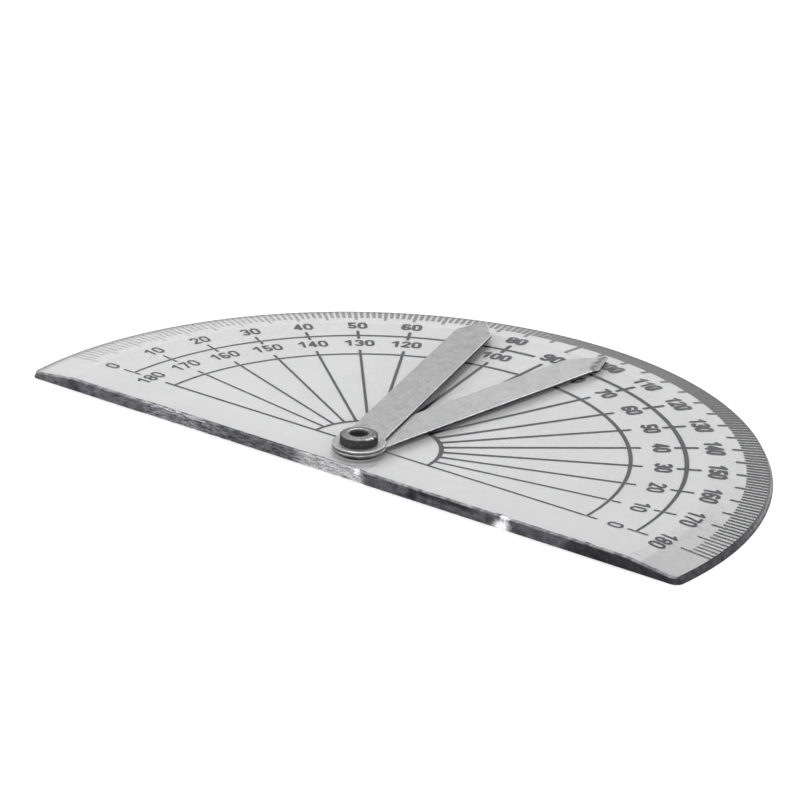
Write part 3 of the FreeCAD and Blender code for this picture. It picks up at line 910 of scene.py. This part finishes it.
def make_eyelet():
    """The hollow rivet: flange, shank and a rolled head with a scraped, crimped lip, with painted glints
    on the crimps at the right front, a painted highlight on the left of the inner lip, and painted black
    shade in the bore and on the head's side.
    """
    low, high = box_mm("eyelet")
    head_top = float(high[2])
    flange = float(high[0])
    bore = 1.2
    head = 2.4
    wall = 0.3
    shank = bore + wall
    under = UPPER_ARM_TOP + HEAD_GAP
    # Radius, height, kind (0 metal, 1 painted black shade), how much the crimping moves it, and tone,
    # which paints shade and light: near black in the bore, under the head and at the outer edge,
    # lightest on the inner lip.
    profile = [
        (bore, 0.0, 1, 0.0, 0.07),
        (bore, 1.2, 1, 0.0, 0.07),
        (bore, 2.4, 1, 0.0, 0.07),
        (bore + 0.01, head_top - 0.4, 1, 0.0, 0.06),
        (bore + 0.03, head_top - 0.1, 0, 0.012, 0.16),
        (bore + 0.08, head_top - 0.04, 0, 0.015, 0.42),
        (bore + 0.16, head_top - 0.01, 0, 0.01, 0.36),
        (bore + 0.3, head_top - 0.02, 0, 0.01, 0.22),
        (bore + 0.55, head_top - 0.05, 0, 0.02, 0.18),
        (bore + 0.8, head_top - 0.08, 0, 0.02, 0.18),
        (head - 0.2, head_top - 0.12, 0, 0.03, 0.14),
        (head - 0.08, head_top - 0.17, 0, 0.04, 0.06),
        (head - 0.02, head_top - 0.24, 0, 0.05, 0.05),
        (head - 0.02, head_top - 0.31, 1, 0.07, 0.05),
        (head - 0.05, head_top - 0.36, 1, 0.03, 0.05),
        (head - 0.01, under + 0.25, 1, 0.0, 0.05),
        (head, under, 1, 0.0, 0.05),
        (head - wall, under, 1, 0.0, 0.05),
        (head - wall, head_top - 0.6, 1, 0.0, 0.05),
        (shank + 0.25, head_top - wall - 0.05, 1, 0.0, 0.05),
        (shank, head_top - 0.6, 1, 0.0, 0.05),
        (shank, wall, 0, 0.0, 0.45),
        (flange, wall, 0, 0.0, 0.45),
        (flange, 0.05, 0, 0.0, 0.45),
        (flange - 0.05, 0.0, 0, 0.0, 0.45),
    ]
    shell = Shell()
    tones = []
    rings = []
    for radius, height, kind, crimp, tone in profile:
        points = []
        for k in range(EYELET_STEPS):
            a = 2 * math.pi * k / EYELET_STEPS
            c, s = math.cos(a), math.sin(a)
            near = bump(-0.05, 0.6, (a + math.pi) % (2 * math.pi) - math.pi)
            dent = grain(c * 3, s * 3, height, 0.5) + 0.6 * grain(c * 3, s * 3, height + 9, 0.2)
            amount = crimp * (0.6 + 1.2 * near) * dent
            r = min(radius + 0.7 * amount, max(radius, head - 0.005))
            z = height + 0.6 * amount - 0.4 * crimp
            if crimp == 0:
                r, z = radius, height
            points.append((r * c, r * s, min(z, head_top)))
            # Painted highlights: glints on the crimped teeth at the right front, and the inner lip and
            # flange lighter on the left side.
            tooth = step(0.0, 0.15, grain(c * 3, s * 3, 5.0, 0.16))
            painted_highlight = 1 + 16.0 * near * tooth * (kind == 0 and crimp >= 0.03)
            if tone > 0.3:
                painted_highlight = 0.5 + 1.0 * bump(3.0, 1.3, a)
            tones.append(tone * painted_highlight)
        rings.append(shell.ring(points))
    for k in range(len(rings)):
        after = (k + 1) % len(rings)
        shell.bridge(rings[k], rings[after], kind=profile[k][2])
    piece = shell.build("rivet", [eyelet_metal(), PAINTED_BLACK_SHADE], smooth_angle=40.0)
    store(piece, "tone", tones)
    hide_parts("eyelet")
    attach(piece, "root")


make_eyelet()


# ---------------------------------------------------------------- printed scale

TICK_NODES = ["degree_ticks", "five_degree_ticks", "ninety_degree_tick"]
LINE_NODES = [
    "hub_arc", "inner_scale_arc", "outer_scale_arc", "radial_lines", "base_line", "cross_ticks",
    "outer_numerals", "inner_numerals", "ninety_numeral",
]
SCALE_CENTRE = (0.21, 2.28)
INK_PITCH = 0.13
INK_LOW = 0.01
INK_HIGH = 0.03


def mark_outlines(node):
    """The marks of a CAD ink node in plan: for each mark its outer loop and the loops of its holes."""
    work = bmesh.new()
    work.from_mesh(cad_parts[node].data)
    bmesh.ops.remove_doubles(work, verts=work.verts, dist=1e-7)
    work.verts.index_update()
    work.normal_update()
    top = {face for face in work.faces if face.normal.z > 0.7}
    after = {}
    for face in top:
        for corner in face.loops:
            if sum(other in top for other in corner.edge.link_faces) == 1:
                after[corner.vert.index] = corner.link_loop_next.vert.index
    place = [(v.co.x / MM, v.co.y / MM) for v in work.verts]
    work.free()
    outers, holes = [], []
    while after:
        walk = next(iter(after))
        chain = []
        while walk in after:
            chain.append(place[walk])
            walk = after.pop(walk)
        loop = np.array(chain)
        turned = np.roll(loop, -1, axis=0)
        area = np.sum(loop[:, 0] * turned[:, 1] - turned[:, 0] * loop[:, 1]) / 2
        (outers if area > 0 else holes).append(loop)
    return [(outer, [hole for hole in holes if inside(hole[:1], outer)[0]]) for outer in outers]


def scale_turn(x, y):
    """The angle on the printed scale, in degrees from its right-hand end."""
    return abs(math.degrees(math.atan2(y - SCALE_CENTRE[1], x - SCALE_CENTRE[0])))


def scale_radius(x, y):
    return math.hypot(x - SCALE_CENTRE[0], y - SCALE_CENTRE[1])


def ink_spread(x, y):
    """How far the ink has run past the CAD's outline: most at the upper right, least at the ends."""
    turn = scale_turn(x, y)
    radius = scale_radius(x, y)
    bold = step(0.0, 40.0, turn) * (1 - step(75.0, 180.0, turn))
    heavy = 0.045 * bump(9.0, 1.5, radius) + 0.035 * bold * step(37.0, 39.0, radius)
    ragged = 0.022 * grain(x, y, 7, 0.4) + 0.018 * grain(x, y, 17, 0.16)
    smear = 0.05 * bump(78.0, 35.0, turn) * step(41.3, 41.6, radius)
    return -0.06 + 0.1 * bold + heavy + smear + ragged


def tick_run(x, y):
    """How far a rim tick has run sideways: most at the upper right, where gaps are narrow."""
    turn = scale_turn(x, y)
    run = 0.05 * step(40.0, 52.0, turn) + 0.1 * step(48.0, 72.0, turn) * (1 - step(86.0, 108.0, turn))
    return run * step(46.2, 46.9, scale_radius(x, y))


def ink_fade(x, y, is_tick):
    """How far the ink has rubbed off, from 0 to 1: most on the rim's ticks at the left."""
    turn = scale_turn(x, y)
    if is_tick:
        hazy = 0.4 * step(35.0, 70.0, turn) + 0.08 * step(90.0, 110.0, turn)
        return 0.16 + hazy + 0.2 * step(120.0, 155.0, turn) + 0.3 * (1 - step(3.0, 12.0, turn))
    outer = step(30.0, 40.0, scale_radius(x, y))
    return (0.1 + 0.25 * outer) * step(95.0, 170.0, turn) + 0.12 * (1 - step(2.0, 12.0, turn))


def printed_loop(loop, share, is_tick):
    """A mark's loop as printed: softened corners, run ink and slightly ragged edges."""
    loop = evenly(loop, INK_PITCH)
    loop = (np.roll(loop, 1, axis=0) + 2 * loop + np.roll(loop, -1, axis=0)) / 4
    run = np.array([ink_spread(x, y) for x, y in loop]) * share
    normals = outward(loop)
    moved = normals * run[:, None]
    if is_tick:
        arms = loop - np.array(SCALE_CENTRE)
        around = np.column_stack([-arms[:, 1], arms[:, 0]]) / np.hypot(arms[:, 0], arms[:, 1])[:, None]
        sideways = np.sum(around * normals, axis=1) * np.array([tick_run(x, y) for x, y in loop])
        moved += around * sideways[:, None] * share
    return loop + moved


def add_mark(shell, outer, holes, is_tick):
    """Adds one mark as a thin closed film just inside the plate's underside."""
    first = len(shell.points)
    for share in (1.0, 0.5, 0.0):
        loops = [printed_loop(loop, share, is_tick) for loop in [outer, *holes]]
        tops = [shell.ring([(x, y, INK_HIGH) for x, y in loop]) for loop in loops]
        lows = [shell.ring([(x, y, INK_LOW) for x, y in loop]) for loop in loops]
        if shell.fill(tops[0], tops[1:]) and shell.fill(lows[0], lows[1:]):
            for high, low in zip(tops, lows):
                shell.bridge(high, low)
            return
        del shell.points[first:]
    raise ValueError("a mark's outline crosses itself")


def make_ink(node):
    shell = Shell()
    for outer, holes in mark_outlines(node):
        add_mark(shell, outer, holes, node in TICK_NODES)
    piece = shell.build(node + "_print", [INK], smooth_angle=35.0)
    store(piece, "fade", [ink_fade(x, y, node in TICK_NODES) for x, y, _ in shell.points])
    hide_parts(node)
    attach(piece, "root")


for ink_name in LINE_NODES + TICK_NODES:
    make_ink(ink_name)


# ---------------------------------------------------------------- floor, light and camera

FLOOR_SIZE = 8.0
FLOOR_GAP = 0.05 * MM
WORLD_LEVEL = 0.75
KEY_PLACE = (-0.36, 0.0, 1.15)
KEY_SIZE = 1.7
KEY_POWER = 18.3


def white_floor():
    n = Nodes("white_floor")
    cloud = n.noise(400.0)
    shader = n.add(
        "ShaderNodeBsdfDiffuse", {"Color": n.grey(n.ranged(cloud, 0.3, 0.7, 0.86, 0.88))}
    )
    return n.finish(shader.outputs[0])


def make_floor():
    half = FLOOR_SIZE / 2
    mesh = bpy.data.meshes.new("floor")
    z = -FLOOR_GAP
    corners = [(-half, -half, z), (half, -half, z), (half, half, z), (-half, half, z)]
    mesh.from_pydata(corners, [], [(0, 1, 2, 3)])
    mesh.materials.append(white_floor())
    floor = bpy.data.objects.new("floor", mesh)
    bpy.context.scene.collection.objects.link(floor)


def make_light():
    world = bpy.data.worlds.new("studio")
    world.use_nodes = True
    background = world.node_tree.nodes["Background"]
    background.inputs["Color"].default_value = (1, 1, 1, 1)
    background.inputs["Strength"].default_value = WORLD_LEVEL
    bpy.context.scene.world = world
    lamp = bpy.data.lights.new("overhead_softbox", "AREA")
    lamp.shape = "DISK"
    lamp.size = KEY_SIZE
    lamp.energy = KEY_POWER
    key = bpy.data.objects.new("overhead_softbox", lamp)
    key.location = KEY_PLACE
    key.rotation_euler = Vector(KEY_PLACE).to_track_quat("Z", "Y").to_euler()
    bpy.context.scene.collection.objects.link(key)


CAMERA_AZIMUTH = 36.40
CAMERA_ELEVATION = 21.89
CAMERA_ROLL = 1.50
CAMERA_DISTANCE = 401.2
CAMERA_LENS = 139.8
AIM_OFFSET = (-5.75, -7.045)


def make_camera():
    """A long lens from the front right, low over the plate."""
    data = bpy.data.cameras.new("camera")
    data.lens = CAMERA_LENS
    data.sensor_width = 36.0
    data.clip_start, data.clip_end = 0.01, 50.0
    camera = bpy.data.objects.new("camera", data)
    middle = (CAD_LOW + CAD_HIGH) / 2 / MM
    aim = Vector((middle.x + AIM_OFFSET[0], middle.y + AIM_OFFSET[1], THICKNESS))
    azimuth, elevation = math.radians(CAMERA_AZIMUTH), math.radians(CAMERA_ELEVATION)
    back = Vector(
        (
            math.sin(azimuth) * math.cos(elevation),
            -math.cos(azimuth) * math.cos(elevation),
            math.sin(elevation),
        )
    )
    level = (-back).to_track_quat("-Z", "Y").to_matrix().to_4x4()
    roll = Matrix.Rotation(math.radians(CAMERA_ROLL), 4, "Z")
    camera.matrix_world = Matrix.Translation((aim + back * CAMERA_DISTANCE) * MM) @ level @ roll
    bpy.context.scene.collection.objects.link(camera)
    bpy.context.scene.camera = camera


make_floor()
make_light()
make_camera()
bpy.context.scene.view_settings.view_transform = "Standard"
